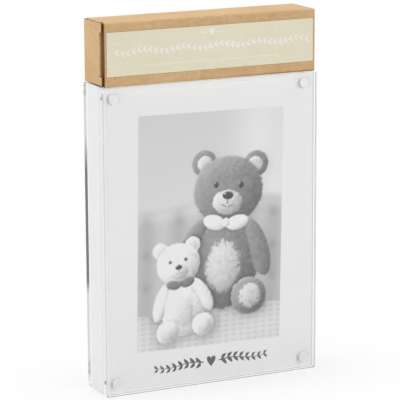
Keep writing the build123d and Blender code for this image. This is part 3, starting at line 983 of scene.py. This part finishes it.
def makeFeltPad():
    # crowned pad: the top sinks by a parabola towards its sides and rolls over at the rim in a
    # quarter circle, with lattice noise for its nap
    low, high = (np.array(corner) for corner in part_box("ink_felt"))
    middle = (low + high) / 2
    half = (high - low) / 2
    u, v = np.meshgrid(np.sin(np.linspace(-0.5, 0.5, feltPad["cols"]) * math.pi),
                       np.sin(np.linspace(-0.5, 0.5, feltPad["rows"]) * math.pi))
    x = middle[0] + u * half[0]
    y = middle[1] + v * half[1]
    gap = np.minimum(half[0] * (1 - np.abs(u)), half[1] * (1 - np.abs(v)))
    roll = np.clip(gap / feltPad["round"], 0, 1)
    rolled = feltPad["round"] * (1 - np.sqrt(np.clip(1 - (1 - roll) ** 2, 0, 1)))
    long, short = feltPad["crownShare"]
    sink = feltPad["crown"] * (long * u**2 + short * v**2)
    rate = feltPad["napRate"]
    nap = feltPad["nap"] * (latticeNoise(x * rate, y * rate, feltPad["napSeed"]) - 0.5)
    top = high[2] - feltPad["low"] - sink - rolled + nap * roll
    points, faces = slab(np.stack((x, y, top), -1), np.stack((x, y, np.full_like(x, low[2])), -1))
    finish = fibreFinish("inkedFelt", felt)
    piece = addPiece("feltPad", points, faces, finish, "carton", smooth=True)
    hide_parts("ink_felt")


makeFeltPad()
print("ink pad ready")

# stage, lamps and camera
studio = {
    "colour": tone(246, 246, 246), "shade": tone(244, 244, 244), "cloud": 6.0, "rough": 0.9, "gloss": 0.1,
    "floorHalf": 6.0, "shadowKeep": 0.34, "shadowReach": 75 * mm, "base": (74 * mm, 15.3 * mm), "sky": 0.50,
    "lamps": [  # name, place, aim, size, watts
        ("keyLeft", (-1.55, 0.20, 0.95), (0, 0, 0.13), 0.9, 9.0),
        ("overhead", (0.1, 0.35, 1.5), (0, 0, 0.15), 1.2, 8.2),
        ("fillRight", (0.8, -1.7, 0.85), (0, 0, 0.12), 1.0, 10.0),
    ],
}


def seenDirectly(tree):  # 1 for rays from the camera, from gloss and from glass
    path = addNode(tree, "LightPath").outputs
    near = calc(tree, "MAXIMUM", path["Is Camera Ray"], path["Is Glossy Ray"])
    return calc(tree, "MAXIMUM", near, path["Is Transmission Ray"])


def makeFloor():
    # white where it is seen, with part of the object's shadow kept about its base
    made, tree, body = newMaterial("studioFloor")
    plug(tree, body, Base_Color=clouded(tree, studio), Roughness=studio["rough"],
         Specular_IOR_Level=studio["gloss"])
    place = axes(tree, "Object")
    beyond = [calc(tree, "MAXIMUM", calc(tree, "SUBTRACT", calc(tree, "ABSOLUTE", place[axis]), half), 0.0)
              for axis, half in zip("XY", studio["base"])]
    squares = [calc(tree, "POWER", distance, 2.0) for distance in beyond]
    away = calc(tree, "SQRT", calc(tree, "ADD", *squares))
    plain = spread(tree, away, 0.0, studio["shadowReach"], 1 - studio["shadowKeep"], 1.0)
    bright = addNode(tree, "Emission", {"Color": white}).outputs[0]
    showShader(tree, mixShaders(tree, times(tree, seenDirectly(tree), plain), body.outputs[0], bright))
    half = studio["floorHalf"]
    mesh = bpy.data.meshes.new("studioFloor")
    corners = [(-half, -half, 0), (half, -half, 0), (half, half, 0), (-half, half, 0)]
    mesh.from_pydata(corners, [], [(0, 1, 2, 3)])
    mesh.materials.append(made)
    floor = addObject("studioFloor", mesh)


def makeSky():  # white where it is seen, dimmer as a light
    world = bpy.data.worlds.new("studio")
    bpy.context.scene.world = world
    world.use_nodes = True
    tree = world.node_tree
    tree.nodes.clear()
    strength = spread(tree, seenDirectly(tree), 0.0, 1.0, studio["sky"], 1.0)
    sky = addNode(tree, "Background", {"Color": white, "Strength": strength})
    tree.links.new(sky.outputs[0], addNode(tree, "OutputWorld").inputs[0])


def addLamps():
    for name, at, aim, size, watts in studio["lamps"]:
        lamp = bpy.data.lights.new(name, "AREA")
        lamp.energy = watts
        lamp.size = size
        holder = addObject(name, lamp)
        holder.location = at
        holder.rotation_euler = (Vector(aim) - Vector(at)).to_track_quat("-Z", "Y").to_euler()


shot = {
    "turn": -25.776, "rise": 12.483, "roll": -0.317, "away": 1.4365, "aim": (-0.001645, 0.0, 0.117758),
    "focal": 2244.7, "pixels": 400, "sensor": 36, "reach": 50,  # focal length in pixels of the photograph
}


def addCamera():
    turn, rise, roll = (math.radians(shot[key]) for key in ("turn", "rise", "roll"))
    back = Vector((math.sin(turn) * math.cos(rise), -math.cos(turn) * math.cos(rise), math.sin(rise)))
    level = Vector((math.cos(turn), math.sin(turn), 0))
    upright = back.cross(level)
    right = math.cos(roll) * level + math.sin(roll) * upright
    up = math.cos(roll) * upright - math.sin(roll) * level
    lens = bpy.data.cameras.new("shot")
    lens.sensor_width = shot["sensor"]
    lens.lens = shot["sensor"] * shot["focal"] / shot["pixels"]
    lens.clip_end = shot["reach"]
    holder = addObject("shot", lens)
    place = Vector(shot["aim"]) + back * shot["away"]
    holder.matrix_world = Matrix.Translation(place) @ Matrix((right, up, back)).transposed().to_4x4()
    bpy.context.scene.camera = holder


makeFloor()
makeSky()
addLamps()
addCamera()
bpy.context.scene.view_settings.view_transform = "Standard"
print("stage ready")
